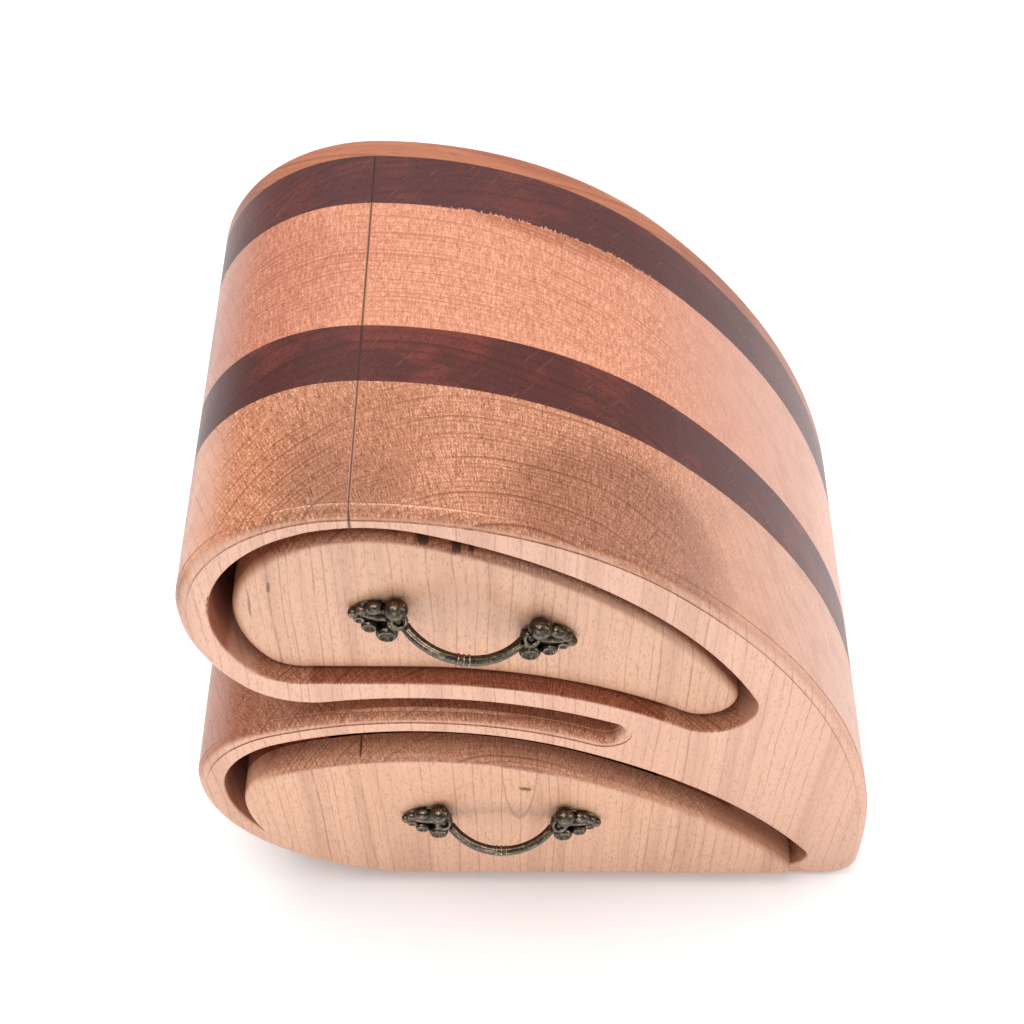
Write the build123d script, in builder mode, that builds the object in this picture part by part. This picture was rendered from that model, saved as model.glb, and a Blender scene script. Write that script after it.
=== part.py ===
"""Two-drawer bandsaw box.

A block of light and dark wood layers, stacked from front to back, is sawn to a rounded
outline with a curved notch in its left side. A drawer is sawn out of each lobe, sliced,
hollowed and glued up again. Both drawers slide out towards the front.

Millimetres. The origin is on the underside, in the middle of the footprint. The front
looks along -Y, +X is to the right and +Z is up.
"""

import os
from math import acos, atan2, cos, degrees, hypot, radians, sin, sqrt

from build123d import *

os.makedirs("parts", exist_ok=True)

# Case: overall sizes of the sawn block
case_width = 216.0
lower_lobe_height = 111.5
upper_lobe_height = 93.3
notch_width = 8.7

# Case: layers from front to back
front_layer = 41.6
stripe_layer = 19.0
middle_layer = 45.4
back_layer = 8.3

# Case: curves of the outline
foot_corner_radius = 9.0
crown_inset = 35.5
upper_lobe_inset = 9.5
upper_lobe_rise = 43.3
lower_lobe_drop = 47.5
lip_radius = 25.0
lip_inset = 31.9
notch_offset = 38.0
notch_floor_inset = 32.5
notch_tip_bearing = 61.5

# Case: walls, moulded rim and filled saw cuts
crown_wall = 6.5
side_wall = 8.9
flank_wall = 16.7
notch_web = 11.5
lower_wall = 8.5
lower_tail_wall = 18.5
rim_round = 3.0
rim_ledge = 0.25
rim_step = 0.4
back_edge_round = 3.2
hole_edge_round = 0.8
kerf_width = 0.9
upper_kerf_offset = -0.5
lower_kerf_offset = 18.0

# Drawer holes
upper_roof_radius = 158.0
upper_tail_radius = 13.0
upper_corner_radius = 18.0
upper_corner_inset = 3.7
lower_roof_radius = 200.0
lower_tail_radius = 7.0

# Drawers: clearances in their holes
side_gap = 5.0
seat_gap = 0.35
tail_gap = 3.0
lower_drawer_shift = 0.8
lower_drawer_tail_radius = 3.0
stop_gap = 0.4

# Drawers: places in the box as it stands, and their layers
upper_drawer_recess = 4.2
lower_drawer_proud = 4.0
drawer_front_slice = 9.0
drawer_back_slice = 8.2
core_saw_loss = 4.0
drawer_wall = 6.5
drawer_edge_round = 2.6
hollow_tail_radius = 4.0
mouth_left = 26.0
mouth_right = 76.0
upper_mouth_sill = 5.0
lower_mouth_sill = 25.0

# Handles: one-piece cast bow pulls
upper_handle_ahead = 23.6
upper_handle_drop = 1.35
upper_handle_tilt = -13.5
lower_handle_ahead = 25.0
lower_handle_drop = 4.85
lower_handle_tilt = -2.0
screw_spacing = 36.6
bail_inset = 2.3
bail_foot = 3.6
bail_reach = 11.8
bail_thickness = 2.7
bead_thickness = 3.7
bead_length = 1.0
bead_spacing = 1.5
band_thickness = 3.1
boss_radius = 3.0
boss_lift = 2.4
leaf_middle = 4.8
leaf_length = 15.0
leaf_width = 12.6
leaf_height = 1.4
root_lobe_reach = 1.5
root_lobe_rise = 6.4
root_lobe_radius = 2.9
root_lobe_lift = 2.0
mid_lobe_reach = 6.9
mid_lobe_rise = 4.6
mid_lobe_radius = 2.4
mid_lobe_height = 3.2
end_lobe_reach = 9.8
end_lobe_rise = 2.2
end_lobe_radius = 1.8
end_lobe_height = 2.5
lobe_slope = 1.0
tip_ball_reach = 11.7
tip_ball_radius = 1.6
tip_ball_lift = 1.1

# Handle screws
screw_diameter = 2.8
screw_grip = 3.6
screw_head_diameter = 5.6
screw_head_height = 2.0
screw_hole_clearance = 0.3
tapped_hole_clearance = 0.1

# Depths of the layers along Y
case_depth = front_layer + 2 * stripe_layer + middle_layer + back_layer
front_y = -case_depth / 2
hole_depth = case_depth - back_layer
hole_end_y = front_y + hole_depth
drawer_length = hole_depth - upper_drawer_recess - stop_gap
drawer_front_layer = front_layer - drawer_front_slice - core_saw_loss
drawer_rear_layer = drawer_length - (
    drawer_front_slice + drawer_front_layer + stripe_layer + middle_layer + drawer_back_slice
)


def plane_at(y):
    """Front-view plane at depth y: what is extruded from it comes towards the front."""
    return Plane.XZ.offset(-y)


def polar(center, radius, bearing):
    """Point at a radius and a bearing in degrees from a centre."""
    return (center[0] + radius * cos(radians(bearing)), center[1] + radius * sin(radians(bearing)))


def bearing_to(center, point):
    """Bearing in degrees, from 0 to 360, from a centre to a point."""
    return degrees(atan2(point[1] - center[1], point[0] - center[0])) % 360


def side_arc_radius(across, along, circle_radius):
    """Radius of the arc that leaves a vertical side and runs smoothly into a circle."""
    return (across**2 + along**2 - circle_radius**2) / (2 * (across - circle_radius))


def center_from(first, first_distance, second, second_distance, side):
    """Point at two given distances from two centres, left (1) or right (-1) of their line."""
    span = hypot(second[0] - first[0], second[1] - first[1])
    ahead = (first_distance**2 - second_distance**2 + span**2) / (2 * span)
    aside = side * sqrt(first_distance**2 - ahead**2)
    run = ((second[0] - first[0]) / span, (second[1] - first[1]) / span)
    return (first[0] + ahead * run[0] - aside * run[1], first[1] + ahead * run[1] + aside * run[0])


# Circles of the case outline, in the front view
right_x = case_width / 2
left_x = -case_width / 2
case_height = lower_lobe_height + notch_width + upper_lobe_height
notch_x = -notch_offset
notch_floor_radius = right_x - notch_x - notch_floor_inset
notch_center = (notch_x, lower_lobe_height - notch_floor_radius)
notch_roof_radius = notch_floor_radius + notch_width

lobe_radius = upper_lobe_height - upper_lobe_rise
lobe_side_x = left_x + upper_lobe_inset
lobe_center = (lobe_side_x + lobe_radius, case_height - lobe_radius)

foot_center = (right_x - foot_corner_radius, foot_corner_radius)
crown_x = lobe_center[0]
crown_radius = right_x - crown_x - crown_inset
crown_center = (crown_x, case_height - crown_radius)
flank_radius = side_arc_radius(right_x - crown_x, crown_center[1] - foot_corner_radius, crown_radius)
flank_center = (right_x - flank_radius, foot_corner_radius)
crown_start = bearing_to(flank_center, crown_center)

lip_reach = notch_roof_radius + lip_radius
lip_bearing = degrees(acos((lobe_side_x + lip_inset - notch_x) / lip_reach))
lip_center = polar(notch_center, lip_reach, lip_bearing)
cheek_radius = side_arc_radius(lip_center[0] - lobe_side_x, lobe_center[1] - lip_center[1], lip_radius)
cheek_center = (lobe_side_x + cheek_radius, lobe_center[1])
lip_start = bearing_to(cheek_center, lip_center)

notch_tip_center = polar(notch_center, notch_floor_radius + notch_width / 2, notch_tip_bearing)
lower_lobe_rise = lower_lobe_height - lower_lobe_drop
shoulder_radius = side_arc_radius(notch_x - left_x, lower_lobe_rise - notch_center[1], notch_floor_radius)
shoulder_center = (left_x + shoulder_radius, lower_lobe_rise)
shoulder_start = bearing_to(notch_center, shoulder_center)
lower_lobe_center = (left_x + lower_lobe_rise, lower_lobe_rise)

# Circles of the upper drawer hole, a kidney that sits on a hump round the notch
belly_radius = lobe_radius - crown_wall
belly_center = (lobe_side_x + side_wall + belly_radius, lobe_center[1])
hump_radius = notch_roof_radius + notch_web
tail_center = center_from(
    flank_center,
    flank_radius - flank_wall - upper_tail_radius,
    notch_center,
    hump_radius + upper_tail_radius,
    1,
)

# Circles of the upper drawer, smaller than its hole and seated on the hump
drawer_belly_radius = belly_radius - side_gap
drawer_belly_center = (belly_center[0], belly_center[1] - side_gap + seat_gap)
drawer_hump_radius = hump_radius + seat_gap
drawer_tail_radius = upper_tail_radius - tail_gap
drawer_tail_x = tail_center[0] + upper_tail_radius - side_gap - drawer_tail_radius
drawer_tail_bearing = degrees(acos((drawer_tail_x - notch_x) / (drawer_hump_radius + drawer_tail_radius)))
drawer_tail_center = polar(notch_center, drawer_hump_radius + drawer_tail_radius, drawer_tail_bearing)

# Circles of the lower drawer hole, a teardrop with a level floor
lower_crown_radius = notch_floor_radius - lower_wall
lower_tail_center = (right_x - lower_tail_wall - lower_tail_radius, lower_wall + lower_tail_radius)
lower_roof_center = center_from(
    notch_center,
    lower_roof_radius - lower_crown_radius,
    lower_tail_center,
    lower_roof_radius - lower_tail_radius,
    -1,
)


def draw_arcs(arcs):
    """Draw arcs given as (centre, radius, first bearing, last bearing)."""
    for center, radius, first, last in arcs:
        CenterArc(center, radius, first, last - first)


def draw_case_outline(inset):
    """Outline of the case, from the right foot over the crown and round the notch, moved inwards."""
    draw_arcs(
        [
            (foot_center, foot_corner_radius - inset, -90, 0),
            (flank_center, flank_radius - inset, 0, crown_start),
            (crown_center, crown_radius - inset, crown_start, 90),
            (lobe_center, lobe_radius - inset, 90, 180),
            (cheek_center, cheek_radius - inset, 180, lip_start),
            (lip_center, lip_radius - inset, lip_start, lip_bearing + 180),
            (notch_center, notch_roof_radius + inset, lip_bearing, notch_tip_bearing),
            (notch_tip_center, notch_width / 2 + inset, notch_tip_bearing, notch_tip_bearing - 180),
            (notch_center, notch_floor_radius - inset, notch_tip_bearing, shoulder_start),
            (shoulder_center, shoulder_radius - inset, shoulder_start, 180),
            (lower_lobe_center, lower_lobe_rise - inset, 180, 270),
        ]
    )
    Line((lower_lobe_center[0], inset), (foot_center[0], inset))


def draw_kidney(belly, belly_r, tail, tail_r, roof_r, hump_r, corner_r, inset):
    """Kidney outline of the upper drawer or its hole, moved inwards by an inset."""
    roof = center_from(belly, roof_r - belly_r, tail, roof_r - tail_r, -1)
    side_x = belly[0] - belly_r
    corner = (side_x + corner_r + upper_corner_inset, notch_center[1] + hump_r + corner_r)
    cheek_r = side_arc_radius(corner[0] - side_x, belly[1] - corner[1], corner_r)
    cheek = (side_x + cheek_r, belly[1])
    corner_start = bearing_to(cheek, corner)
    tail_foot = bearing_to(notch_center, tail)
    roof_start = bearing_to(roof, tail)
    roof_end = bearing_to(roof, belly)
    draw_arcs(
        [
            (tail, tail_r - inset, tail_foot - 180, roof_start),
            (roof, roof_r - inset, roof_start, roof_end),
            (belly, belly_r - inset, roof_end, 180),
            (cheek, cheek_r - inset, 180, corner_start),
            (corner, corner_r - inset, corner_start, 270),
            (notch_center, hump_r + inset, 90, tail_foot),
        ]
    )
    floor_z = notch_center[1] + hump_r + inset
    Line((corner[0], floor_z), (notch_x, floor_z))


def draw_teardrop(shift_x, shift_z, inset, tail_r):
    """Teardrop outline of the lower drawer or its hole, shifted and moved inwards."""
    crown = (notch_center[0] + shift_x, notch_center[1] + shift_z)
    roof = (lower_roof_center[0] + shift_x, lower_roof_center[1] + shift_z)
    shoulder = (shoulder_center[0] + shift_x, shoulder_center[1] + shift_z)
    lobe = (lower_lobe_center[0] + shift_x, lower_lobe_center[1] + shift_z)
    floor_z = lower_wall + shift_z + inset
    roof_r = lower_roof_radius - inset
    tail_z = floor_z + tail_r
    tail = (roof[0] + sqrt((roof_r - tail_r) ** 2 - (tail_z - roof[1]) ** 2), tail_z)
    roof_start = bearing_to(roof, tail)
    roof_end = bearing_to(roof, crown)
    draw_arcs(
        [
            (tail, tail_r, -90, roof_start),
            (roof, roof_r, roof_start, roof_end),
            (crown, lower_crown_radius - inset, roof_end, shoulder_start),
            (shoulder, shoulder_radius - lower_wall - inset, shoulder_start, 180),
            (lobe, lower_lobe_rise - lower_wall - inset, 180, 270),
        ]
    )
    Line((lobe[0], floor_z), (tail[0], floor_z))


def draw_upper_drawer(inset):
    """Outline of the upper drawer, moved inwards by an inset."""
    draw_kidney(
        drawer_belly_center,
        drawer_belly_radius,
        drawer_tail_center,
        drawer_tail_radius,
        upper_roof_radius - side_gap,
        drawer_hump_radius,
        upper_corner_radius - side_gap,
        inset,
    )


# Sections of the case, of its moulded rim, of both drawer holes and of the saw cuts into them
with BuildSketch() as case_section:
    with BuildLine():
        draw_case_outline(0)
    make_face()

with BuildSketch() as rim_section:
    with BuildLine():
        draw_case_outline(rim_ledge)
    make_face()

with BuildSketch() as front_face_section:
    with BuildLine():
        draw_case_outline(rim_ledge + rim_round)
    make_face()

with BuildSketch() as holes_section:
    with BuildLine():
        draw_kidney(
            belly_center,
            belly_radius,
            tail_center,
            upper_tail_radius,
            upper_roof_radius,
            hump_radius,
            upper_corner_radius,
            0,
        )
    make_face()
    with BuildLine():
        draw_teardrop(0, 0, 0, lower_tail_radius)
    make_face()

with BuildSketch() as upper_kerf_section:
    with Locations((crown_x + upper_kerf_offset, belly_center[1])):
        Rectangle(kerf_width, case_height, align=(Align.CENTER, Align.MIN))

with BuildSketch() as lower_kerf_section:
    with Locations((notch_x + lower_kerf_offset, notch_center[1] + lower_crown_radius / 2)):
        Rectangle(kerf_width, case_height, align=(Align.CENTER, Align.MAX))

# Sections of the drawers, and of their trays with the hollow open at the top
lower_drop = seat_gap - side_gap
upper_mouth_z = notch_center[1] + drawer_hump_radius + drawer_wall + upper_mouth_sill
upper_mouth_x = drawer_belly_center[0] - mouth_left
lower_mouth_z = lower_wall + seat_gap + drawer_wall + lower_mouth_sill
lower_mouth_x = shoulder_center[0] + lower_drawer_shift
mouth_width = mouth_left + mouth_right

with BuildSketch() as upper_drawer_section:
    with BuildLine():
        draw_upper_drawer(0)
    make_face()

with BuildSketch() as upper_tray_section:
    add(upper_drawer_section.sketch)
    with BuildLine():
        draw_upper_drawer(drawer_wall)
    make_face(mode=Mode.SUBTRACT)
    with Locations((upper_mouth_x, upper_mouth_z)):
        Rectangle(mouth_width, case_height, align=(Align.MIN, Align.MIN), mode=Mode.SUBTRACT)

with BuildSketch() as lower_drawer_section:
    with BuildLine():
        draw_teardrop(lower_drawer_shift, lower_drop, side_gap, lower_drawer_tail_radius)
    make_face()

with BuildSketch() as lower_tray_section:
    add(lower_drawer_section.sketch)
    with BuildLine():
        draw_teardrop(lower_drawer_shift, lower_drop, side_gap + drawer_wall, hollow_tail_radius)
    make_face(mode=Mode.SUBTRACT)
    with Locations((lower_mouth_x, lower_mouth_z)):
        Rectangle(mouth_width, case_height, align=(Align.MIN, Align.MIN), mode=Mode.SUBTRACT)


def edges_facing(part, toward):
    """Edges of the part's flat face that lies furthest along the given axis."""
    return part.faces().sort_by(toward)[-1].outer_wire().edges()


# Hollow block in front of the back panel. Its front edge is moulded: the round starts behind a
# narrow ledge, and the front face stands a small step proud of the round's end
toward_front = Axis((0, 0, 0), (0, -1, 0))
round_y = front_y + rim_step
rim_y = round_y + rim_round + rim_ledge
with BuildPart() as hollow_block:
    with BuildSketch(plane_at(hole_end_y)):
        add(case_section.sketch)
    extrude(amount=hole_end_y - rim_y)
    with BuildSketch(plane_at(rim_y)):
        add(rim_section.sketch)
    extrude(amount=rim_y - round_y)
    fillet(edges_facing(hollow_block, toward_front), rim_round)
    with BuildSketch(plane_at(round_y)):
        add(front_face_section.sketch)
    extrude(amount=rim_step)
    with BuildSketch(plane_at(hole_end_y)):
        add(holes_section.sketch)
    extrude(amount=hole_depth, mode=Mode.SUBTRACT)
    front_face = hollow_block.faces().sort_by(toward_front)[-1]
    fillet([edge for wire in front_face.inner_wires() for edge in wire.edges()], hole_edge_round)

# Case layers: slices of the hollow block, open along both saw cuts
case_layers = [
    ("case_front_block", front_layer),
    ("case_front_stripe", stripe_layer),
    ("case_middle_block", middle_layer),
    ("case_rear_stripe", stripe_layer),
]
layer_y = front_y
for layer_name, thickness in case_layers:
    layer_y = layer_y + thickness
    with BuildPart() as case_layer:
        add(hollow_block.part)
        with BuildSketch(plane_at(layer_y)):
            Rectangle(2 * case_width, 2 * case_height)
        extrude(amount=thickness, mode=Mode.INTERSECT)
        with BuildSketch(plane_at(layer_y)):
            add(upper_kerf_section.sketch)
            add(lower_kerf_section.sketch)
        extrude(amount=thickness, mode=Mode.SUBTRACT)
    case_layer.part.label = layer_name
    export_step(case_layer.part, f"parts/{layer_name}.step")

# Strips that fill the saw cuts: what each cut takes from the hollow block, in one length
kerf_strips = [
    ("upper_kerf_strip", upper_kerf_section.sketch),
    ("lower_kerf_strip", lower_kerf_section.sketch),
]
for strip_name, kerf in kerf_strips:
    with BuildPart() as kerf_strip:
        add(hollow_block.part)
        with BuildSketch(plane_at(hole_end_y)):
            add(kerf)
        extrude(amount=hole_depth, mode=Mode.INTERSECT)
    kerf_strip.part.label = strip_name
    export_step(kerf_strip.part, f"parts/{strip_name}.step")

# Back panel, a plain slice of the outline with a rounded rear edge
with BuildPart() as case_back_panel:
    with BuildSketch(plane_at(hole_end_y + back_layer)):
        add(case_section.sketch)
    extrude(amount=back_layer)
    fillet(edges_facing(case_back_panel, Axis.Y), back_edge_round)
case_back_panel.part.label = "case_back_panel"
export_step(case_back_panel.part, "parts/case_back_panel.step")

# Drawers, with their handles and handle screws
drawers = [
    (
        "upper",
        upper_drawer_section.sketch,
        upper_tray_section.sketch,
        front_y + upper_drawer_recess,
        (drawer_belly_center[0] + upper_handle_ahead, drawer_belly_center[1] - upper_handle_drop),
        upper_handle_tilt,
    ),
    (
        "lower",
        lower_drawer_section.sketch,
        lower_tray_section.sketch,
        front_y - lower_drawer_proud,
        (notch_x + lower_handle_ahead, lower_lobe_rise + lower_drop - lower_handle_drop),
        lower_handle_tilt,
    ),
]
tray_layers = [
    ("tray_front", drawer_front_layer),
    ("tray_front_stripe", stripe_layer),
    ("tray_middle", middle_layer),
    ("tray_rear_stripe", drawer_rear_layer),
]
rosette_balls = [(0, 0, boss_lift, boss_radius), (tip_ball_reach, 0, tip_ball_lift, tip_ball_radius)]
leaf_lobes = []
for side in (-1, 1):
    rosette_balls.append((root_lobe_reach, side * root_lobe_rise, root_lobe_lift, root_lobe_radius))
    leaf_lobes.append((mid_lobe_reach, side * mid_lobe_rise, mid_lobe_radius, mid_lobe_height))
    leaf_lobes.append((end_lobe_reach, side * end_lobe_rise, end_lobe_radius, end_lobe_height))
bail_end = screw_spacing / 2 - bail_inset
for drawer, outline, tray_outline, face_y, handle_place, handle_tilt in drawers:
    handle_plane = Plane(
        origin=(handle_place[0], face_y, handle_place[1]),
        x_dir=(cos(radians(handle_tilt)), 0, sin(radians(handle_tilt))),
        z_dir=(0, -1, 0),
    )

    # Front slice with an eased edge and the two screw holes
    slice_y = face_y + drawer_front_slice
    with BuildPart() as drawer_front:
        with BuildSketch(plane_at(slice_y)):
            add(outline)
        extrude(amount=drawer_front_slice)
        fillet(edges_facing(drawer_front, toward_front), drawer_edge_round)
        with Locations(handle_plane):
            with GridLocations(screw_spacing, 0, 2, 1):
                Hole(screw_diameter / 2 + screw_hole_clearance)
    drawer_front.part.label = f"{drawer}_drawer_front"
    export_step(drawer_front.part, f"parts/{drawer}_drawer_front.step")

    # Hollowed layers of the tray
    tray_y = slice_y
    for layer_name, thickness in tray_layers:
        tray_y = tray_y + thickness
        with BuildPart() as tray_layer:
            with BuildSketch(plane_at(tray_y)):
                add(tray_outline)
            extrude(amount=thickness)
        tray_layer.part.label = f"{drawer}_drawer_{layer_name}"
        export_step(tray_layer.part, f"parts/{drawer}_drawer_{layer_name}.step")

    # Rear slice
    with BuildPart() as drawer_back:
        with BuildSketch(plane_at(tray_y + drawer_back_slice)):
            add(outline)
        extrude(amount=drawer_back_slice)
    drawer_back.part.label = f"{drawer}_drawer_back"
    export_step(drawer_back.part, f"parts/{drawer}_drawer_back.step")

    # Cast handle: a bowed bail with a band of beads between two leaf rosettes
    bow_plane = Plane(origin=handle_plane.origin, x_dir=handle_plane.x_dir, z_dir=-handle_plane.y_dir)
    with BuildPart() as handle:
        with BuildLine(bow_plane) as bow:
            ThreePointArc((-bail_end, bail_foot), (0, bail_reach), (bail_end, bail_foot))
        with BuildSketch(Plane(origin=bow.line @ 0, z_dir=bow.line % 0)):
            Circle(bail_thickness / 2)
        sweep(path=bow.line)
        with Locations(Plane(origin=bow.line @ 0.5, z_dir=bow.line % 0.5)):
            Cylinder(band_thickness / 2, 2 * bead_spacing + bead_length)
            with Locations(*[(0, 0, bead_spacing * step) for step in (-1, 0, 1)]):
                Cylinder(bead_thickness / 2, bead_length)
        for end in (-1, 1):
            rosette_plane = Plane(
                origin=handle_plane.from_local_coords((end * screw_spacing / 2, 0, 0)),
                x_dir=handle_plane.x_dir * end,
                z_dir=handle_plane.z_dir,
            )
            with BuildSketch(rosette_plane):
                with Locations((leaf_middle, 0)):
                    Ellipse(leaf_length / 2, leaf_width / 2)
            extrude(amount=leaf_height)
            with Locations(rosette_plane):
                for lobe_x, lobe_y, foot_radius, lobe_height in leaf_lobes:
                    with Locations((lobe_x, lobe_y)):
                        Cone(
                            foot_radius,
                            foot_radius - lobe_slope,
                            lobe_height,
                            align=(Align.CENTER, Align.CENTER, Align.MIN),
                        )
                for ball_x, ball_y, ball_lift, ball_radius in rosette_balls:
                    with Locations((ball_x, ball_y, ball_lift)):
                        Sphere(ball_radius)
        split(bisect_by=handle_plane, keep=Keep.TOP)
        with Locations(handle_plane):
            with GridLocations(screw_spacing, 0, 2, 1):
                Cylinder(
                    screw_diameter / 2 + tapped_hole_clearance,
                    screw_grip,
                    align=(Align.CENTER, Align.CENTER, Align.MIN),
                    mode=Mode.SUBTRACT,
                )
    handle.part.label = f"{drawer}_handle"
    export_step(handle.part, f"parts/{drawer}_handle.step")

    # Pan-head screws, put in from inside the drawer
    with BuildPart() as handle_screws:
        with Locations(handle_plane.offset(-drawer_front_slice)):
            with GridLocations(screw_spacing, 0, 2, 1):
                Cylinder(
                    screw_diameter / 2,
                    drawer_front_slice + screw_grip,
                    align=(Align.CENTER, Align.CENTER, Align.MIN),
                )
                Cylinder(
                    screw_head_diameter / 2,
                    screw_head_height,
                    align=(Align.CENTER, Align.CENTER, Align.MAX),
                )
    handle_screws.part.label = f"{drawer}_handle_screws"
    export_step(handle_screws.part, f"parts/{drawer}_handle_screws.step")
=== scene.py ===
"""Looks of the two-drawer bandsaw box.

The box is dressed in the order in which it is made: the glued block with its light and dark
layers, the filled saw cuts, the drawers that were sawn out of it, and the cast handles. The
studio comes last. Sizes are in metres in the part's own frame, and in millimetres inside the
wood grain, where the patterns are read at that scale.
"""

from math import asin, atan2, cos, radians, sin

import bpy
from mathutils import Matrix, Vector


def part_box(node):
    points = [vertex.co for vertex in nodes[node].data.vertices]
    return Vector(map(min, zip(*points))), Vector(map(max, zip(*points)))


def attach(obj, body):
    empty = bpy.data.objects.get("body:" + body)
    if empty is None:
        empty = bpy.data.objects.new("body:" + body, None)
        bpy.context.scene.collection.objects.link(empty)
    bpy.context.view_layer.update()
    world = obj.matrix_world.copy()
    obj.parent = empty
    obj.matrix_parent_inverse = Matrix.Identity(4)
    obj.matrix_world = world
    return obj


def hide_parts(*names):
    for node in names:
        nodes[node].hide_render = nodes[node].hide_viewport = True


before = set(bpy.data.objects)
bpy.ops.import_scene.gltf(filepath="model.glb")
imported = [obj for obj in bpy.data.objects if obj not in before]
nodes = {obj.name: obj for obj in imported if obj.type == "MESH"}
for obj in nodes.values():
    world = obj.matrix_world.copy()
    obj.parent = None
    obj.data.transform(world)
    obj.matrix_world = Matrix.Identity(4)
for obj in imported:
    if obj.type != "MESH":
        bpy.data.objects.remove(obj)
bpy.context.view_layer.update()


# Front block of the case. It is the thick light board that shows the end of its fibres on top
# and its long grain on the front. It is glued to the dark board behind it, sawn and varnished.
def set_input(tree, socket, value):
    """Link a socket to another node's output, or set it to a plain value."""
    if isinstance(value, bpy.types.NodeSocket):
        tree.links.new(value, socket)
    else:
        socket.default_value = value


def add_node(tree, kind, **settings):
    """Add a shader node. Names with a capital are inputs, the others are settings of the node."""
    made = tree.nodes.new(kind)
    for name, value in settings.items():
        if name[0].isupper():
            set_input(tree, made.inputs[name.replace("_", " ")], value)
        else:
            setattr(made, name, value)
    return made


def reckon(tree, operation, *values):
    """Result of a sum on numbers."""
    made = add_node(tree, "ShaderNodeMath", operation=operation)
    for socket, value in zip(made.inputs, values):
        set_input(tree, socket, value)
    return made.outputs[0]


def shift(tree, operation, *values):
    """Result of a sum on places or directions."""
    made = add_node(tree, "ShaderNodeVectorMath", operation=operation)
    for socket, value in zip(made.inputs, values):
        set_input(tree, socket, value)
    return made.outputs["Value" if operation in ("LENGTH", "DISTANCE", "DOT_PRODUCT") else "Vector"]


def stain(tree, share, first, second, blend="MIX"):
    """Mix a second colour over a first one by a share."""
    made = add_node(tree, "ShaderNodeMix", data_type="RGBA", blend_type=blend, clamp_result=True)
    for index, value in ((0, share), (6, first), (7, second)):
        set_input(tree, made.inputs[index], value)
    return made.outputs[2]


def spread(tree, value, low, high, to_low=0.0, to_high=1.0):
    """Ease a value from one range into another, held at both ends."""
    made = add_node(
        tree,
        "ShaderNodeMapRange",
        interpolation_type="SMOOTHSTEP",
        Value=value,
        From_Min=low,
        From_Max=high,
        To_Min=to_low,
        To_Max=to_high,
    )
    return made.outputs["Result"]


def mottle(tree, place, stretch, detail=2.0, roughness=0.5):
    """Noise from 0 to 1 on a place in millimetres, with its frequency along each axis."""
    at = shift(tree, "MULTIPLY", place, stretch)
    made = add_node(
        tree, "ShaderNodeTexNoise", Vector=at, Scale=1.0, Detail=detail, Roughness=roughness
    )
    return made.outputs["Fac"]


def apart(tree, place, middle, reach, turn=0.0):
    """Distance from the middle of an egg-shaped zone in shares of its reach, turned about Y."""
    local = add_node(
        tree,
        "ShaderNodeMapping",
        vector_type="TEXTURE",
        Vector=place,
        Location=middle,
        Rotation=(0.0, radians(turn), 0.0),
        Scale=reach,
    )
    return shift(tree, "LENGTH", local.outputs["Vector"])


mm_per_m = 1000.0


def open_finish(name):
    """Start a wood or metal finish: its material, its tree and the place in millimetres."""
    material = bpy.data.materials.new(name)
    material.use_nodes = True
    tree = material.node_tree
    tree.nodes.clear()
    coordinates = add_node(tree, "ShaderNodeTexCoord").outputs["Object"]
    place = shift(tree, "MULTIPLY", coordinates, (mm_per_m, mm_per_m, mm_per_m))
    return material, tree, place


def year_rings(tree, place, heart, wander):
    """Distance from a heart that runs up the board, with a slow wander in it."""
    drift = add_node(tree, "ShaderNodeTexNoise", Vector=place, Scale=0.016, Detail=2.0)
    centred = shift(tree, "SUBTRACT", drift.outputs["Color"], (0.5, 0.5, 0.5))
    bend = shift(tree, "MULTIPLY", centred, (wander, wander, 0.0))
    bent = shift(tree, "MULTIPLY", shift(tree, "ADD", place, bend), (1.0, 1.0, 0.0))
    return shift(tree, "DISTANCE", bent, (heart[0], heart[1], 0.0))


def late_lines(tree, across, ring_width, sets_in):
    """Late-wood lines along a distance: uneven in width, each with its own strength. Each one
    sets in at a share of its ring and ends with it."""
    count = reckon(tree, "DIVIDE", across, ring_width)
    years = add_node(
        tree, "ShaderNodeTexNoise", noise_dimensions="1D", W=count, Scale=0.5, Detail=1.0
    )
    uneven = reckon(tree, "MULTIPLY_ADD", years.outputs["Fac"], 1.1, count)
    within = reckon(tree, "FRACT", uneven)
    rise = spread(tree, within, sets_in, 0.95)
    line = reckon(tree, "MULTIPLY", rise, spread(tree, within, 1.0, 0.95))
    year = reckon(tree, "FLOOR", uneven)
    number = add_node(tree, "ShaderNodeTexWhiteNoise", noise_dimensions="1D", W=year)
    strength = spread(tree, number.outputs["Value"], 0.0, 1.0, 0.35, 1.0)
    return reckon(tree, "MULTIPLY", line, strength)


def dress(name, material):
    """Give a CAD node its material."""
    nodes[name].data.materials.clear()
    nodes[name].data.materials.append(material)


def varnish(material, tree, colour, height, relief, roughness, coat):
    """Finish a wood material with a thin coat over the coloured grain."""
    bump = add_node(tree, "ShaderNodeBump", Strength=relief, Distance=0.0002, Height=height)
    surface = add_node(
        tree,
        "ShaderNodeBsdfPrincipled",
        Base_Color=colour,
        Roughness=roughness,
        Specular_IOR_Level=0.15,
        Normal=bump.outputs["Normal"],
        Coat_Weight=coat,
        Coat_Roughness=0.2,
    )
    add_node(tree, "ShaderNodeOutputMaterial", Surface=surface.outputs["BSDF"])
    return material


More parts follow.
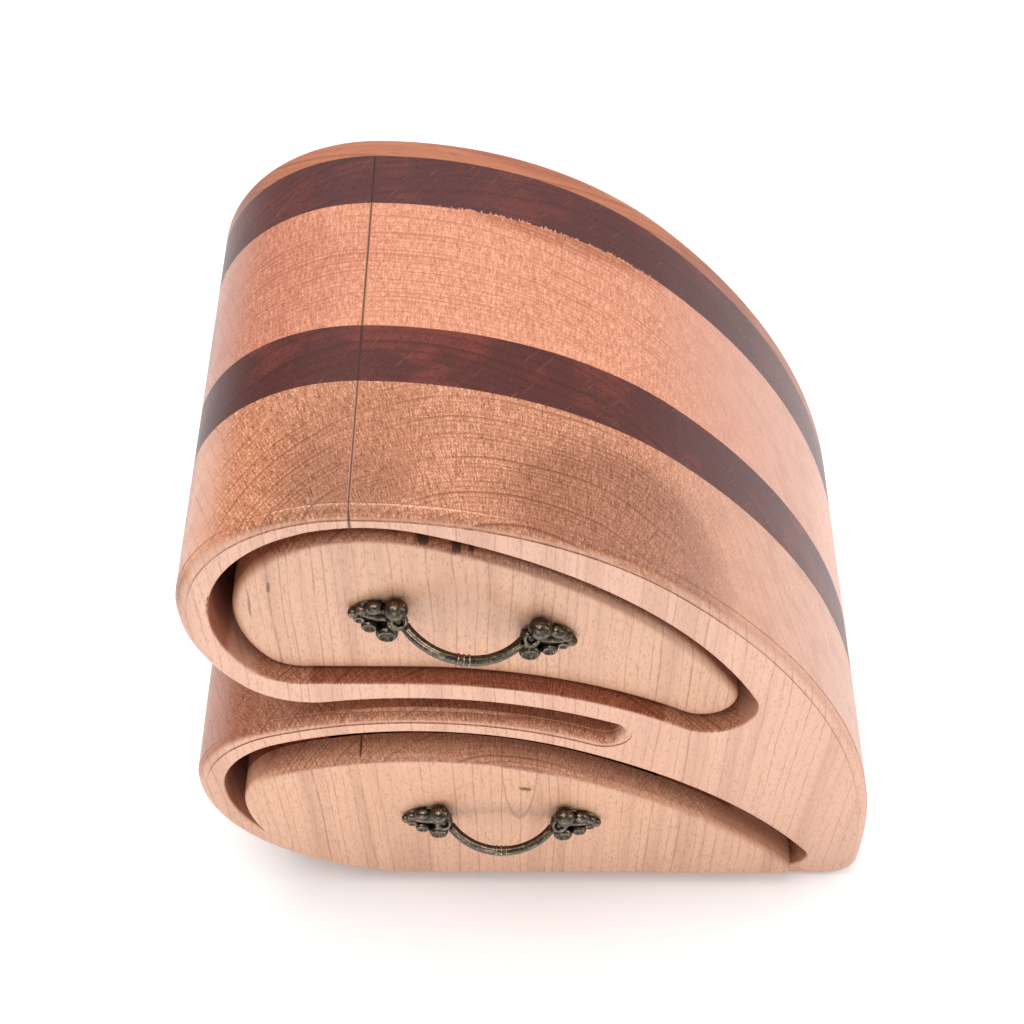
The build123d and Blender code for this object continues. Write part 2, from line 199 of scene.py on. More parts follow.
def light_grain(tree, place, heart, face, face_line, end, end_dark, end_pale, zones):
    """Light close-grained wood: pale with fine upright lines on its long grain, redder on its ends,
    where the year rings are crossed by a hatch of rays. Zones tint all but the front and back
    faces and are (eggs, tint, inner edge, outer edge), where the eggs are (middle, reach, turn)
    and a zone is what lies in all of them. Gives the colour and the height."""
    line_spacing, ring_spacing, ring_wander = 2.8, 1.6, 9.0
    across_lines = (0.93, 0.37, 0.0)
    sawn_tint = (0.88, 0.79, 0.76, 1.0)
    normal = add_node(tree, "ShaderNodeNewGeometry").outputs["Normal"]
    facing = add_node(tree, "ShaderNodeSeparateXYZ", Vector=shift(tree, "ABSOLUTE", normal))
    upright = reckon(tree, "MULTIPLY_ADD", facing.outputs["X"], -0.6, facing.outputs["Z"])
    across_fibres = spread(tree, upright, 0.05, 0.45)
    sawn = spread(tree, facing.outputs["Y"], 0.9, 0.5)
    clouds = mottle(tree, place, (0.03, 0.04, 0.012), 3.0)

    sway = mottle(tree, place, (0.03, 0.03, 0.012), 2.0)
    straight = shift(tree, "DOT_PRODUCT", place, across_lines)
    aside = reckon(tree, "MULTIPLY_ADD", sway, 6.0, straight)
    broken = spread(tree, mottle(tree, place, (0.35, 0.35, 0.11), 2.0), 0.35, 0.6, 0.4, 1.0)
    lines = late_lines(tree, aside, line_spacing, sets_in=0.78)
    long_line = reckon(tree, "MULTIPLY", lines, broken)
    fibre = mottle(tree, place, (2.2, 2.2, 0.5), 2.0, 0.6)
    streak = mottle(tree, place, (0.16, 0.16, 0.006), 2.0)
    long_grain = stain(tree, spread(tree, streak, 0.42, 0.7, 0.0, 0.3), face, face_line)
    long_grain = stain(tree, spread(tree, fibre, 0.5, 0.75, 0.0, 0.55), long_grain, face_line)
    long_grain = stain(tree, reckon(tree, "MULTIPLY", long_line, 0.8), long_grain, face_line)
    long_grain = stain(tree, sawn, long_grain, sawn_tint, "MULTIPLY")

    out = year_rings(tree, place, heart, ring_wander)
    beside_heart = shift(tree, "SUBTRACT", place, (heart[0], heart[1], 0.0))
    from_heart = add_node(tree, "ShaderNodeSeparateXYZ", Vector=beside_heart)
    bearing = reckon(tree, "ARCTAN2", from_heart.outputs["X"], from_heart.outputs["Y"])
    widening = reckon(tree, "ADD", 60.0, reckon(tree, "MULTIPLY", out, 0.4))
    swing = reckon(tree, "MULTIPLY", bearing, widening)
    ray_place = add_node(tree, "ShaderNodeCombineXYZ", X=swing, Y=out, Z=from_heart.outputs["Z"])
    ray = mottle(tree, ray_place.outputs["Vector"], (2.1, 0.35, 0.3), 2.0, 0.65)
    speck = mottle(tree, place, (2.5, 2.5, 0.7), 1.0)
    weave = reckon(tree, "MULTIPLY", reckon(tree, "ADD", ray, speck), 0.5)
    patchy = spread(tree, clouds, 0.6, 0.4, 0.3, 0.85)
    rings = reckon(tree, "MULTIPLY", late_lines(tree, out, ring_spacing, sets_in=0.4), patchy)
    end_grain = stain(tree, spread(tree, weave, 0.49, 0.34), end, end_dark)
    end_grain = stain(tree, spread(tree, weave, 0.5, 0.66), end_grain, end_pale)
    end_grain = stain(tree, rings, end_grain, end_dark)

    colour = stain(tree, across_fibres, long_grain, end_grain)
    for eggs, tint, inner, outer in zones:
        away = 0.0
        for middle, reach, turn in eggs:
            away = reckon(tree, "MAXIMUM", apart(tree, place, middle, reach, turn), away)
        drift = reckon(tree, "SUBTRACT", clouds, 0.5)
        ragged = reckon(tree, "MULTIPLY_ADD", drift, outer - inner, away)
        share = reckon(tree, "MULTIPLY", spread(tree, ragged, outer, inner), sawn)
        colour = stain(tree, share, colour, (*tint, 1.0), "MULTIPLY")
    return colour, reckon(tree, "ADD", weave, fibre)


def light_wood(name, heart, **colours_and_zones):
    """Varnished light wood."""
    material, tree, place = open_finish(name)
    colour, height = light_grain(tree, place, heart, **colours_and_zones)
    sheen = spread(tree, height, 0.7, 1.3, 0.32, 0.45)
    return varnish(material, tree, colour, height, relief=0.3, roughness=sheen, coat=0.2)


# Painted shade browns the walls of both drawer holes. The upper hole lies in both of its eggs
upper_hole_eggs = [
    ((-12.0, 0.0, 155.0), (83.0, 900.0, 40.0), 14.0),
    ((-60.0, 0.0, 60.0), (137.0, 900.0, 137.0), 0.0),
]
lower_hole_eggs = [((-18.0, 0.0, 52.0), (76.0, 900.0, 44.0), 8.0)]
hole_shade_tint = (0.64, 0.47, 0.43)
hole_shade_zones = [(upper_hole_eggs, hole_shade_tint, 1.04, 1.07), (lower_hole_eggs, hole_shade_tint, 1.03, 1.10)]
front_heart = (-5.0, -125.0)
front_wood = light_wood(
    "front_block_wood",
    heart=front_heart,
    face=(0.67, 0.385, 0.275, 1.0),
    face_line=(0.39, 0.18, 0.105, 1.0),
    end=(0.46, 0.192, 0.108, 1.0),
    end_dark=(0.20, 0.070, 0.034, 1.0),
    end_pale=(0.76, 0.385, 0.245, 1.0),
    zones=[
        # Painted shade inside the drawer holes
        *hole_shade_zones,
        # Brown patch round the saw cut, darker towards the rim
        ([((-49.0, -47.0, 212.0), (22.0, 28.0, 60.0), 0.0)], (0.82, 0.76, 0.72), 0.5, 1.15),
        ([((-49.0, -57.0, 212.0), (18.0, 14.0, 60.0), 0.0)], (0.84, 0.84, 0.82), 0.5, 1.1),
        # Brown zone right of the crown
        ([((19.0, -57.0, 186.0), (36.0, 30.0, 70.0), 0.0)], (0.69, 0.64, 0.63), 0.6, 1.04),
        # Painted shade on the left wall of the lower lobe, and paler left shoulder of the upper one
        ([((-94.0, -20.0, 88.0), (26.0, 90.0, 26.0), 0.0)], (0.78, 0.67, 0.66), 0.6, 1.1),
        ([((-86.0, -42.0, 196.0), (24.0, 42.0, 28.0), 0.0)], (1.14, 1.07, 1.0), 0.5, 1.1),
        # Painted highlights along the crests of the rim over the crown and in the notch
        ([((-40.0, -63.45, 213.0), (34.0, 0.35, 14.0), 0.0)], (1.45, 1.65, 1.8), 0.6, 1.2),
        ([((-33.0, -63.45, 111.0), (30.0, 0.60, 7.0), 0.0)], (1.9, 2.4, 2.9), 0.6, 1.2),
    ],
)
dress("case_front_block", front_wood)

# Middle block of the case. A second thick light board, pinker than the front one, between the
# two dark boards. Its fibres stand upright too, and shade is painted brown along the rear board.
middle_wood = light_wood(
    "middle_block_wood",
    heart=(-35.0, -200.0),
    face=(0.66, 0.36, 0.265, 1.0),
    face_line=(0.46, 0.21, 0.135, 1.0),
    end=(0.57, 0.237, 0.145, 1.0),
    end_dark=(0.37, 0.125, 0.068, 1.0),
    end_pale=(0.81, 0.395, 0.265, 1.0),
    zones=[
        # Painted shade inside the drawer holes
        *hole_shade_zones,
        # Redder left shoulder, painted shade along the rear board, and painted sheen on the right
        # flank
        ([((-78.0, 15.0, 200.0), (34.0, 45.0, 40.0), 0.0)], (0.88, 0.80, 0.80), 0.4, 1.1),
        ([((6.0, 39.0, 203.0), (36.0, 5.0, 30.0), 0.0)], (0.74, 0.66, 0.60), 0.6, 1.15),
        ([((106.0, 15.0, 70.0), (26.0, 60.0, 80.0), 0.0)], (1.13, 1.15, 1.17), 0.6, 1.1),
    ],
)
dress("case_middle_block", middle_wood)


# Dark boards of the case. Two thin boards of an open-pored dark wood, glued between the light
# ones, with red heart zones, fine scratches and dark pores. The rear one is greyer, and torn
# fibres of the light board lie over its front edge.
def dark_wood(name, heart, shade, red, streak, scratch):
    """Dark open-pored wood with red zones, fine streaks and pale scratches. Gives its material,
    tree and place, its colour and its height, to be varnished."""
    ring_spacing, ring_wander, scratch_bearing = 3.0, 14.0, radians(-55.0)
    pore_dark = (0.018, 0.007, 0.006, 1.0)
    material, tree, place = open_finish(name)
    out = year_rings(tree, place, heart, ring_wander)
    clouds = mottle(tree, place, (0.045, 0.07, 0.014), 3.0, 0.6)
    fibre = mottle(tree, place, (1.5, 1.5, 0.06), 3.0, 0.7)
    pore = mottle(tree, place, (1.6, 1.6, 0.12), 1.0)
    slant = add_node(tree, "ShaderNodeMapping", Vector=place, Rotation=(0.0, 0.0, scratch_bearing))
    scrape = mottle(tree, slant.outputs["Vector"], (0.10, 1.7, 0.1), 1.0)
    colour = stain(tree, spread(tree, clouds, 0.45, 0.62), shade, red)
    rings = reckon(tree, "MULTIPLY", late_lines(tree, out, ring_spacing, sets_in=0.4), 0.6)
    colour = stain(tree, rings, colour, streak)
    colour = stain(tree, spread(tree, fibre, 0.45, 0.7, 0.0, 0.7), colour, streak)
    colour = stain(tree, spread(tree, scrape, 0.66, 0.76, 0.0, 0.5), colour, scratch)
    colour = stain(tree, spread(tree, pore, 0.68, 0.76, 0.0, 0.8), colour, pore_dark)
    return material, tree, place, colour, reckon(tree, "SUBTRACT", fibre, pore)


material, tree, place, colour, height = dark_wood(
    "front_stripe_wood",
    heart=(-30.0, -140.0),
    shade=(0.090, 0.026, 0.022, 1.0),
    red=(0.160, 0.037, 0.028, 1.0),
    streak=(0.052, 0.016, 0.015, 1.0),
    scratch=(0.19, 0.075, 0.06, 1.0),
)
stripe_finish = {"relief": 0.25, "roughness": 0.36, "coat": 0.04}
front_stripe_wood = varnish(material, tree, colour, height, **stripe_finish)
dress("case_front_stripe", front_stripe_wood)

material, tree, place, colour, height = dark_wood(
    "rear_stripe_wood",
    heart=(10.0, -160.0),
    shade=(0.092, 0.033, 0.031, 1.0),
    red=(0.130, 0.039, 0.034, 1.0),
    streak=(0.063, 0.023, 0.022, 1.0),
    scratch=(0.20, 0.085, 0.07, 1.0),
)
torn_fibre = (0.55, 0.25, 0.165, 1.0)
torn_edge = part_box("case_rear_stripe")[0][1] * mm_per_m
backward = add_node(tree, "ShaderNodeSeparateXYZ", Vector=place).outputs["Y"]
behind_edge = reckon(tree, "SUBTRACT", backward, torn_edge)
tuft = mottle(tree, place, (1.1, 0.35, 0.4), 2.0, 0.6)
fringe = spread(tree, reckon(tree, "MULTIPLY_ADD", tuft, -4.5, behind_edge), -1.9, -2.3)
from_tear = apart(tree, place, (4.0, torn_edge, 205.0), (36.0, 9.0, 40.0))
torn = reckon(tree, "MULTIPLY", fringe, spread(tree, from_tear, 1.1, 0.7))
colour = stain(tree, torn, colour, torn_fibre)
rear_stripe_wood = varnish(material, tree, colour, height, **stripe_finish)
dress("case_rear_stripe", rear_stripe_wood)

# Back panel. A slice with its fibres lying across, glued on behind the drawers. Its edge shows
# long orange streaks that run with the outline, and its back the same fibres in slow waves.
panel_pale = (0.42, 0.158, 0.088, 1.0)
panel_deep = (0.31, 0.104, 0.062, 1.0)
panel_line = (0.20, 0.060, 0.031, 1.0)
panel_fibre = (0.23, 0.072, 0.038, 1.0)
panel_line_spacing = 2.1
panel_wood, tree, place = open_finish("back_panel_wood")
sway = mottle(tree, place, (0.008, 0.03, 0.016), 2.0)
depth = shift(tree, "DOT_PRODUCT", place, (0.04, 1.0, 0.34))
through = reckon(tree, "MULTIPLY_ADD", sway, 16.0, depth)
grain_line = late_lines(tree, through, panel_line_spacing, sets_in=0.3)
fibre = mottle(tree, place, (0.10, 1.6, 1.6), 3.0, 0.65)
clouds = mottle(tree, place, (0.012, 0.08, 0.045), 2.0)
panel_colour = stain(tree, spread(tree, clouds, 0.4, 0.62), panel_pale, panel_deep)
panel_colour = stain(tree, reckon(tree, "MULTIPLY", grain_line, 0.6), panel_colour, panel_line)
panel_colour = stain(tree, spread(tree, fibre, 0.48, 0.75, 0.0, 0.5), panel_colour, panel_fibre)
varnish(panel_wood, tree, panel_colour, fibre, relief=0.25, roughness=0.38, coat=0.15)
dress("case_back_panel", panel_wood)


# Filled saw cuts. The saw came in through the crown and through the underside, and each cut
# was closed again with a sliver of wood. Its glue shows as a dark line in the light layers, and
# is nearly lost in the dark ones.
def kerf_filler(strip):
    """Sliver of wood with a glue line in its middle, in the tone of the layer beside it."""
    sliver_light, glue_light = (0.40, 0.175, 0.10, 1.0), (0.115, 0.052, 0.036, 1.0)
    sliver_dark, glue_dark = (0.080, 0.026, 0.023, 1.0), (0.045, 0.017, 0.015, 1.0)
    low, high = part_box(strip)
    material, tree, place = open_finish(f"{strip}_wood")
    parts = add_node(tree, "ShaderNodeSeparateXYZ", Vector=place)
    grit = mottle(tree, place, (1.2, 0.3, 0.9), 3.0, 0.6)
    middle = (low[0] + high[0]) / 2 * mm_per_m
    aside = reckon(tree, "ABSOLUTE", reckon(tree, "SUBTRACT", parts.outputs["X"], middle))
    glue = spread(tree, reckon(tree, "MULTIPLY_ADD", grit, 0.20, aside), 0.38, 0.24)
    light_part = stain(tree, glue, sliver_light, glue_light)
    dark_part = stain(tree, glue, sliver_dark, glue_dark)
    in_dark = 0.0
    for board in ("case_front_stripe", "case_rear_stripe"):
        board_low, board_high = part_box(board)
        half = (board_high[1] - board_low[1]) / 2 * mm_per_m
        board_middle = (board_low[1] + board_high[1]) / 2 * mm_per_m
        away = reckon(tree, "SUBTRACT", parts.outputs["Y"], board_middle)
        within = spread(tree, reckon(tree, "ABSOLUTE", away), half, half - 0.2)
        in_dark = reckon(tree, "ADD", within, in_dark)
    colour = stain(tree, in_dark, light_part, dark_part)
    return varnish(material, tree, colour, grit, relief=0.3, roughness=0.45, coat=0.1)


for strip in ("upper_kerf_strip", "lower_kerf_strip"):
    dress(strip, kerf_filler(strip))


# Drawer fronts. Each was sliced off the front of its core, so its grain follows the front
# block's. The saw has left the upper one scorched along its top edge, and the lower one has a
# small knot above its handle.
def drawer_front(drawer, zones, marks):
    """Drawer front with dark marks, which are (middle, reach, turn, colour, share, breaks, hollow).
    A hollow mark is only the rim of its egg, as wide as that share of its reach."""
    material, tree, place = open_finish(f"{drawer}_drawer_front_wood")
    colour, height = light_grain(
        tree,
        place,
        front_heart,
        face=(0.635, 0.356, 0.232, 1.0),
        face_line=(0.30, 0.135, 0.072, 1.0),
        end=(0.42, 0.180, 0.106, 1.0),
        end_dark=(0.19, 0.070, 0.035, 1.0),
        end_pale=(0.60, 0.30, 0.19, 1.0),
        zones=zones,
    )
    for middle, reach, turn, mark, share, breaks, hollow in marks:
        ragged = mottle(tree, place, breaks, 2.0, 0.6)
        away = apart(tree, place, middle, reach, turn)
        if hollow:
            off_rim = reckon(tree, "ABSOLUTE", reckon(tree, "SUBTRACT", away, 1.0))
            away = reckon(tree, "DIVIDE", off_rim, hollow)
        away = reckon(tree, "MULTIPLY_ADD", ragged, 0.9, away)
        colour = stain(tree, spread(tree, away, 1.5, 1.1, 0.0, share), colour, mark)
    sheen = spread(tree, height, 0.7, 1.3, 0.32, 0.45)
    return varnish(material, tree, colour, height, relief=0.3, roughness=sheen, coat=0.2)


scorch = (0.075, 0.035, 0.024, 1.0)
brown = (0.26, 0.125, 0.075, 1.0)
drawer_marks = {
    "upper": [
        # Scorch marks of the saw along the top edge
        ((-39.0, -60.0, 198.6), (4.0, 9.0, 2.4), 4.0, scorch, 0.7, (0.7, 0.2, 0.2), 0.0),
        ((-31.6, -60.0, 196.1), (2.8, 9.0, 3.4), 8.0, scorch, 0.95, (0.7, 0.2, 0.2), 0.0),
        ((-23.4, -60.0, 193.5), (1.9, 9.0, 4.8), 12.0, scorch, 0.95, (0.7, 0.2, 0.2), 0.0),
        ((-19.6, -60.0, 191.5), (1.3, 9.0, 3.1), 12.0, scorch, 0.9, (0.7, 0.2, 0.2), 0.0),
        # Brown and scorched arris at the upper right
        ((20.0, -55.0, 173.0), (30.0, 6.0, 3.2), 29.0, brown, 0.85, (0.3, 0.3, 0.3), 0.0),
        ((46.0, -55.0, 156.0), (18.0, 6.0, 3.0), 38.0, scorch, 0.8, (0.3, 0.3, 0.3), 0.0),
        # Short dashes in the grain at the left
        ((-79.3, -62.5, 165.5), (0.4, 2.0, 7.0), 4.0, brown, 0.9, (0.5, 0.5, 0.2), 0.0),
        ((-73.2, -62.5, 174.3), (0.5, 2.0, 3.0), 6.0, scorch, 0.8, (0.5, 0.5, 0.2), 0.0),
    ],
    "lower": [
        # Knot, with the grain drawn round it
        ((-5.4, -70.7, 74.0), (2.2, 2.0, 1.5), 20.0, scorch, 0.8, (0.5, 0.5, 0.5), 0.0),
        ((-7.3, -70.7, 92.0), (5.4, 90.0, 38.0), 0.0, brown, 0.45, (0.3, 0.3, 0.08), 0.05),
        # Saw mark across the top edge
        ((-55.0, -66.0, 94.0), (0.45, 6.0, 5.0), 0.0, scorch, 0.9, (0.4, 0.2, 0.2), 0.0),
    ],
}
worn_edges = {
    "upper": [([((32.0, -63.5, 170.0), (62.0, 5.5, 60.0), 0.0)], (1.5, 1.9, 2.1), 0.7, 1.1)],
    "lower": [([((-20.0, -66.0, 80.0), (100.0, 14.0, 60.0), 0.0)], (1.3, 1.4, 1.45), 0.8, 1.1)],
}
for drawer, marks in drawer_marks.items():
    dress(f"{drawer}_drawer_front", drawer_front(drawer, worn_edges[drawer], marks))

# Drawer trays. The hollowed cores carry the same layers as the case, and the rear slice is of
# the dark board.
tray_wood = {
    "tray_front": front_wood,
    "tray_front_stripe": front_stripe_wood,
    "tray_middle": middle_wood,
    "tray_rear_stripe": rear_stripe_wood,
    "back": rear_stripe_wood,
}
for drawer in ("upper", "lower"):
    for layer, wood in tray_wood.items():
        dress(f"{drawer}_drawer_{layer}", wood)

# Handle screws. Zinc-plated pan-head screws of steel, two to a handle, put in from inside the
# drawer through its front slice and into the casting.
zinc_dull = (0.50, 0.50, 0.48, 1.0)
zinc_bright = (0.68, 0.67, 0.63, 1.0)
zinc, tree, place = open_finish("zinc_plate")
haze = mottle(tree, place, (0.8, 0.8, 0.8), 3.0)
zinc_colour = stain(tree, haze, zinc_dull, zinc_bright)
surface = add_node(
    tree,
    "ShaderNodeBsdfPrincipled",
    Base_Color=zinc_colour,
    Metallic=1.0,
    Roughness=spread(tree, haze, 0.3, 0.7, 0.25, 0.45),
)
add_node(tree, "ShaderNodeOutputMaterial", Surface=surface.outputs["BSDF"])
for name in ("upper_handle_screws", "lower_handle_screws"):
    dress(name, zinc)

# Handles. Bow pulls cast in one piece with a leaf rosette at each end, darkened all over and
# then rubbed bright on the high spots, with a painted highlight on the faces turned up and out.
# Two screws from inside the drawer hold each one.
screw_reach = 0.0183
bow_end = 0.0160
bow_foot = 0.0036
bow_top = 0.0118
rod_radius = 0.00148
flute_count = 6
flute_depth = 0.00010
bead_radius = 0.00150
bead_thickness = 0.00030
bead_spacing = 0.0015
cup_share = 0.72
scroll_radius = 0.0019
scroll_thickness = 0.00062
scroll_lean = radians(-35)
casting_voxel = 0.00016
drawer_clearance = 0.00005
bow_radius = (bow_end**2 + (bow_top - bow_foot) ** 2) / (2 * (bow_top - bow_foot))
bow_middle = bow_top - bow_radius
bow_swing = asin(bow_end / bow_radius)


def fluted_rod():
    """The bow: a round rod with shallow flutes, swung about the middle of its arc."""
    bpy.ops.object.select_all(action="DESELECT")
    bpy.ops.mesh.primitive_circle_add(vertices=72, radius=rod_radius, location=(0.0, 0.0, 0.0))
    rod = bpy.context.object
    for vertex in rod.data.vertices:
        bearing = atan2(vertex.co.y, vertex.co.x)
        reach = rod_radius - flute_depth * (0.5 + 0.5 * cos(flute_count * bearing)) ** 3
        vertex.co = (0.0, reach * sin(bearing), bow_radius + reach * cos(bearing))
    rod.data.transform(Matrix.Rotation(bow_swing, 4, "Y"))
    rod.data.transform(Matrix.Translation((0.0, 0.0, bow_middle)))
    bpy.ops.object.mode_set(mode="EDIT")
    bpy.ops.mesh.select_all(action="SELECT")
    bpy.ops.mesh.spin(
        steps=64, angle=2 * bow_swing, center=(0.0, 0.0, bow_middle), axis=(0.0, 1.0, 0.0)
    )
    bpy.ops.mesh.select_all(action="SELECT")
    bpy.ops.mesh.remove_doubles(threshold=0.000001)
    bpy.ops.mesh.normals_make_consistent(inside=False)
    bpy.ops.object.mode_set(mode="OBJECT")
    return rod


def bow_bead(along):
    """One of the three rings round the middle of the bow."""
    bpy.ops.object.select_all(action="DESELECT")
    bpy.ops.mesh.primitive_torus_add(
        major_segments=48, minor_segments=16, major_radius=bead_radius, minor_radius=bead_thickness
    )
    bead = bpy.context.object
    bead.data.transform(Matrix.Rotation(radians(90), 4, "Y"))
    bead.data.transform(Matrix.Translation((0.0, 0.0, bow_radius)))
    bead.data.transform(Matrix.Rotation(along / bow_radius, 4, "Y"))
    bead.data.transform(Matrix.Translation((0.0, 0.0, bow_middle)))
    return bead


def cast_ball(center, size, turn=0.0, dish=0.0):
    """One swelling of a rosette, as an egg that can be turned and dished in at its front."""
    bpy.ops.object.select_all(action="DESELECT")
    bpy.ops.mesh.primitive_uv_sphere_add(segments=48, ring_count=32, radius=1.0)
    ball = bpy.context.object
    for vertex in ball.data.vertices:
        if vertex.co.z > 0:
            hollow = max(0.0, 1.0 - (vertex.co.xy.length / cup_share) ** 2)
            vertex.co.z -= dish * hollow
    ball.data.transform(Matrix.Diagonal((*size, 1.0)))
    ball.data.transform(Matrix.Rotation(radians(turn), 4, "Z"))
    ball.data.transform(Matrix.Translation(center))
    return ball


def scroll(center):
    """The curl where the bow runs into the rosette."""
    bpy.ops.object.select_all(action="DESELECT")
    bpy.ops.mesh.primitive_torus_add(
        major_segments=48,
        minor_segments=16,
        major_radius=scroll_radius,
        minor_radius=scroll_thickness,
    )
    curl = bpy.context.object
    curl.data.transform(Matrix.Rotation(scroll_lean, 4, "X"))
    curl.data.transform(Matrix.Translation(center))
    return curl


def join(pieces):
    """Join pieces into the first one."""
    bpy.ops.object.select_all(action="DESELECT")
    for piece in pieces:
        piece.select_set(True)
    bpy.context.view_layer.objects.active = pieces[0]
    bpy.ops.object.join()
    return pieces[0]


def rosette(side):
    """Dome, curl, upper row of eggs, lower row of dished cups and end ball, run into one casting.
    Each swelling is (center from the screw, size, turn, dish)."""
    eggs = [
        # Dome over the screw, and the flat leaf behind the rest
        ((0.0000, 0.0000, 0.0022), (0.0030, 0.0030, 0.0028), 0, 0.0),
        ((0.0048, 0.0000, 0.0004), (0.0075, 0.0060, 0.0012), 0, 0.0),
        # Upper row of eggs
        ((0.0013, 0.0062, 0.0028), (0.0033, 0.0032, 0.0031), 0, 0.0),
        ((0.0068, 0.0044, 0.0018), (0.0027, 0.0020, 0.0020), -25, 0.0),
        ((0.0098, 0.0020, 0.0015), (0.0018, 0.0015, 0.0015), -15, 0.0),
        # Lower row of dished cups
        ((0.0015, -0.0064, 0.0023), (0.0031, 0.0030, 0.0026), 0, 0.8),
        ((0.0066, -0.0046, 0.0018), (0.0024, 0.0022, 0.0021), 25, 0.8),
        ((0.0098, -0.0022, 0.0014), (0.0017, 0.0016, 0.0017), 15, 0.7),
        # End ball, and the rib that leads to it
        ((0.0117, 0.0000, 0.0014), (0.0016, 0.0016, 0.0015), 0, 0.0),
        ((0.0045, 0.0000, 0.0012), (0.0062, 0.0012, 0.0016), 0, 0.0),
    ]
    pieces = []
    for center, size, turn, dish in eggs:
        spot = (side * (screw_reach + center[0]), center[1], center[2])
        pieces.append(cast_ball(spot, size, side * turn, dish))
    pieces.append(scroll((side * (screw_reach - 0.0002), 0.0030, 0.0042)))
    casting = join(pieces)
    remesh = casting.modifiers.new("run_together", "REMESH")
    remesh.mode = "VOXEL"
    remesh.voxel_size = casting_voxel
    bpy.ops.object.modifier_apply(modifier=remesh.name)
    soften = casting.modifiers.new("soften", "SMOOTH")
    soften.factor = 0.5
    soften.iterations = 4
    bpy.ops.object.modifier_apply(modifier=soften.name)
    bpy.ops.object.mode_set(mode="EDIT")
    bpy.ops.mesh.select_all(action="SELECT")
    bpy.ops.mesh.bisect(
        plane_co=(0.0, 0.0, drawer_clearance),
        plane_no=(0.0, 0.0, 1.0),
        use_fill=True,
        clear_inner=True,
    )
    bpy.ops.object.mode_set(mode="OBJECT")
    return casting


dark_patina = (0.012, 0.010, 0.008, 1.0)
brown_patina = (0.075, 0.060, 0.046, 1.0)
bare_brass = (0.34, 0.262, 0.175, 1.0)
bronze, tree, place = open_finish("aged_brass")
tarnish = mottle(tree, place, (0.9, 0.9, 0.9), 4.0, 0.6)
geometry = add_node(tree, "ShaderNodeNewGeometry")
# Rubbed high spots, plus a painted highlight that brightens faces turned up and out
lit_top_facing = shift(tree, "DOT_PRODUCT", geometry.outputs["Normal"], (0.0, -0.5, 0.87))
rubbed_and_lit = reckon(tree, "MULTIPLY_ADD", tarnish, 0.12, geometry.outputs["Pointiness"])
rubbed_and_lit = reckon(tree, "ADD", rubbed_and_lit, spread(tree, lit_top_facing, 0.45, 1.0, 0.0, 0.038))
bronze_colour = stain(tree, spread(tree, rubbed_and_lit, 0.535, 0.585), dark_patina, brown_patina)
bronze_colour = stain(tree, spread(tree, rubbed_and_lit, 0.585, 0.645), bronze_colour, bare_brass)
surface = add_node(
    tree,
    "ShaderNodeBsdfPrincipled",
    Base_Color=bronze_colour,
    Metallic=0.95,
    Roughness=spread(tree, tarnish, 0.3, 0.7, 0.18, 0.28),
)
add_node(tree, "ShaderNodeOutputMaterial", Surface=surface.outputs["BSDF"])

beads = [bow_bead(along) for along in (-bead_spacing, 0.0, bead_spacing)]
pull = join([fluted_rod(), *beads, rosette(-1), rosette(1)])
bpy.ops.object.shade_smooth()
handle_tilts = {"upper": radians(-13.5), "lower": radians(-2.0)}
for drawer, tilt in handle_tilts.items():
    low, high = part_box(f"{drawer}_handle")
    handle = pull.copy()
    handle.data = pull.data.copy()
    handle.name = f"{drawer}_bow_pull"
    bpy.context.collection.objects.link(handle)
    lean = Matrix.Rotation(radians(90), 4, "X") @ Matrix.Rotation(tilt, 4, "Z")
    seat = ((low[0] + high[0]) / 2, high[1], (low[2] + high[2]) / 2)
    handle.data.transform(Matrix.Translation(seat) @ lean)
    handle.data.materials.clear()
    handle.data.materials.append(bronze)
    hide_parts(f"{drawer}_handle")
    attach(handle, f"{drawer}_drawer")
bpy.data.objects.remove(pull)

# Studio. A faintly glowing white floor and a white surround, dim at both sides and where the
# picture is taken from. Soft lamps stand above, at the right and low in front, a lit card lies
# before the box, and a small lamp glints on the metal.
floor_size = 6.0
floor_drop = 0.0002
bpy.ops.object.select_all(action="DESELECT")
bpy.ops.mesh.primitive_plane_add(size=floor_size, location=(0.0, 0.0, -floor_drop))
floor = bpy.context.object
floor.name = "studio_floor"
paper = bpy.data.materials.new("studio_paper")
paper.use_nodes = True
paper_surface = paper.node_tree.nodes["Principled BSDF"].inputs
paper_surface["Base Color"].default_value = (0.93, 0.93, 0.93, 1.0)
paper_surface["Roughness"].default_value = 0.9
paper_surface["Emission Color"].default_value = (1.0, 1.0, 1.0, 1.0)
paper_surface["Emission Strength"].default_value = 0.15
floor.data.materials.append(paper)

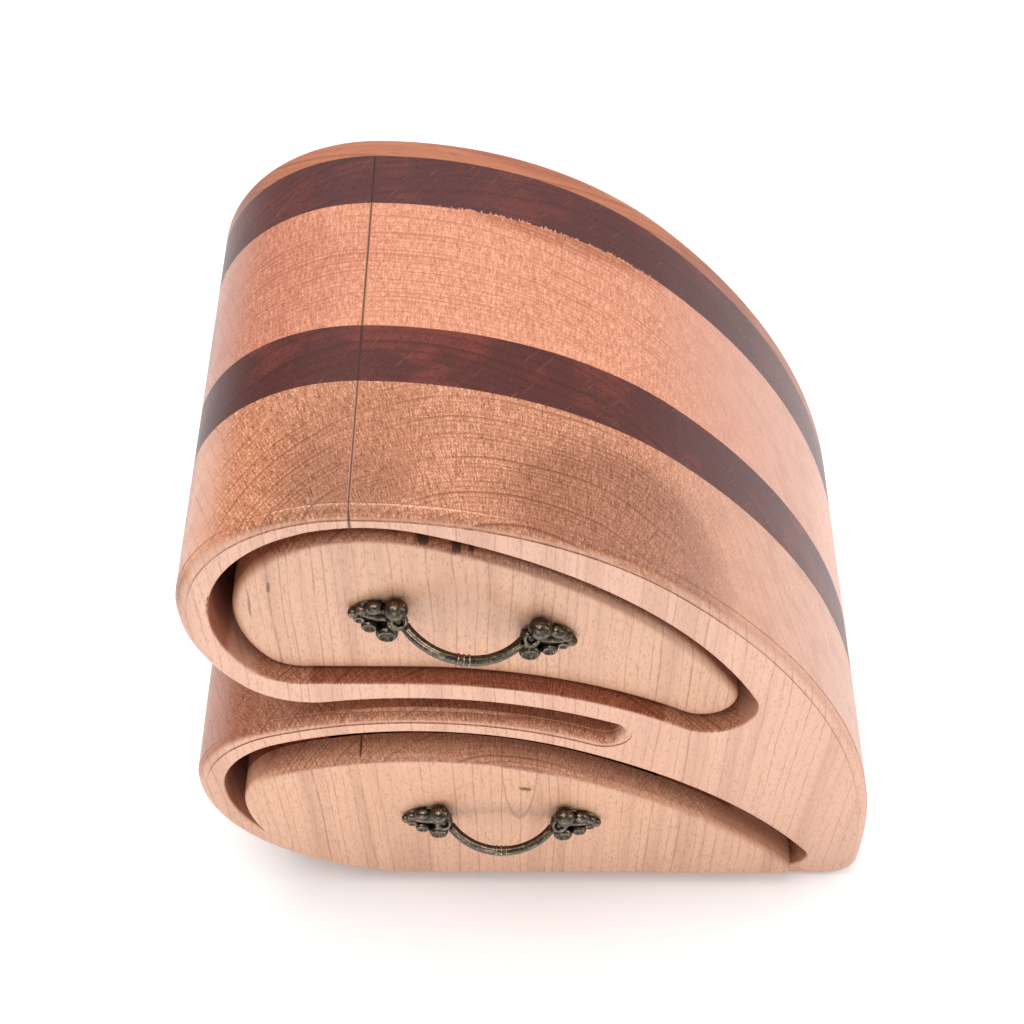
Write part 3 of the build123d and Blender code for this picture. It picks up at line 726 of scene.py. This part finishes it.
surround = bpy.data.worlds.new("studio_surround")
surround.use_nodes = True
tree = surround.node_tree
picture_side = Vector((0.0, -0.55, 0.83)).normalized()
toward = add_node(tree, "ShaderNodeTexCoord").outputs["Generated"]
open_side = shift(tree, "DOT_PRODUCT", toward, picture_side)
rightward = shift(tree, "DOT_PRODUCT", toward, (1.0, 0.0, 0.0))
tree.nodes["Background"].inputs["Color"].default_value = (1.0, 1.0, 1.0, 1.0)
strength = spread(tree, open_side, 0.75, 0.95, 0.84, 0.2)
strength = reckon(tree, "MULTIPLY", strength, spread(tree, rightward, 0.25, 0.85, 1.0, 0.55))
strength = reckon(tree, "MULTIPLY", strength, spread(tree, rightward, -0.25, -0.85, 1.0, 0.35))
set_input(tree, tree.nodes["Background"].inputs["Strength"], strength)
bpy.context.scene.world = surround

box_middle = Vector((0.0, 0.0, 0.11))
over_card = Vector((-0.02, -0.24, 1.0))
# Each lamp is (name, place, size, power in watts, where it points)
lamps = [
    ("front_lamp", (-0.25, -0.95, 0.30), (0.55, 0.55), 1.2, box_middle),
    ("top_lamp", (-0.25, 0.05, 1.1), (0.9, 0.9), 9.3, box_middle),
    ("right_lamp", (0.9, 0.1, 0.45), (0.8, 0.8), 4.6, box_middle),
    ("front_card", (-0.02, -0.24, 0.002), (0.5, 0.2), 0.50, over_card),
    ("small_lamp", (-0.10, -0.42, 0.85), (0.10, 0.10), 0.45, box_middle),
]
for name, spot, size, power, aim in lamps:
    lamp = bpy.data.lights.new(name, "AREA")
    lamp.shape = "RECTANGLE"
    lamp.size, lamp.size_y = size
    lamp.energy = power
    stand = bpy.data.objects.new(name, lamp)
    stand.location = spot
    stand.rotation_euler = (aim - Vector(spot)).to_track_quat("-Z", "Y").to_euler()
    bpy.context.collection.objects.link(stand)

# The camera looks down on the front, with the lens and place solved from the photo's perspective
lens = bpy.data.cameras.new("photo_camera")
lens.lens = 57.973
lens.sensor_width = 36.0
camera = bpy.data.objects.new("photo_camera", lens)
camera.location = (-0.0080, -0.29665, 0.53537)
camera.rotation_euler = (radians(35.6255), radians(0.0647), radians(0.2887))
bpy.context.collection.objects.link(camera)
bpy.context.scene.camera = camera
bpy.context.scene.view_settings.view_transform = "Standard"
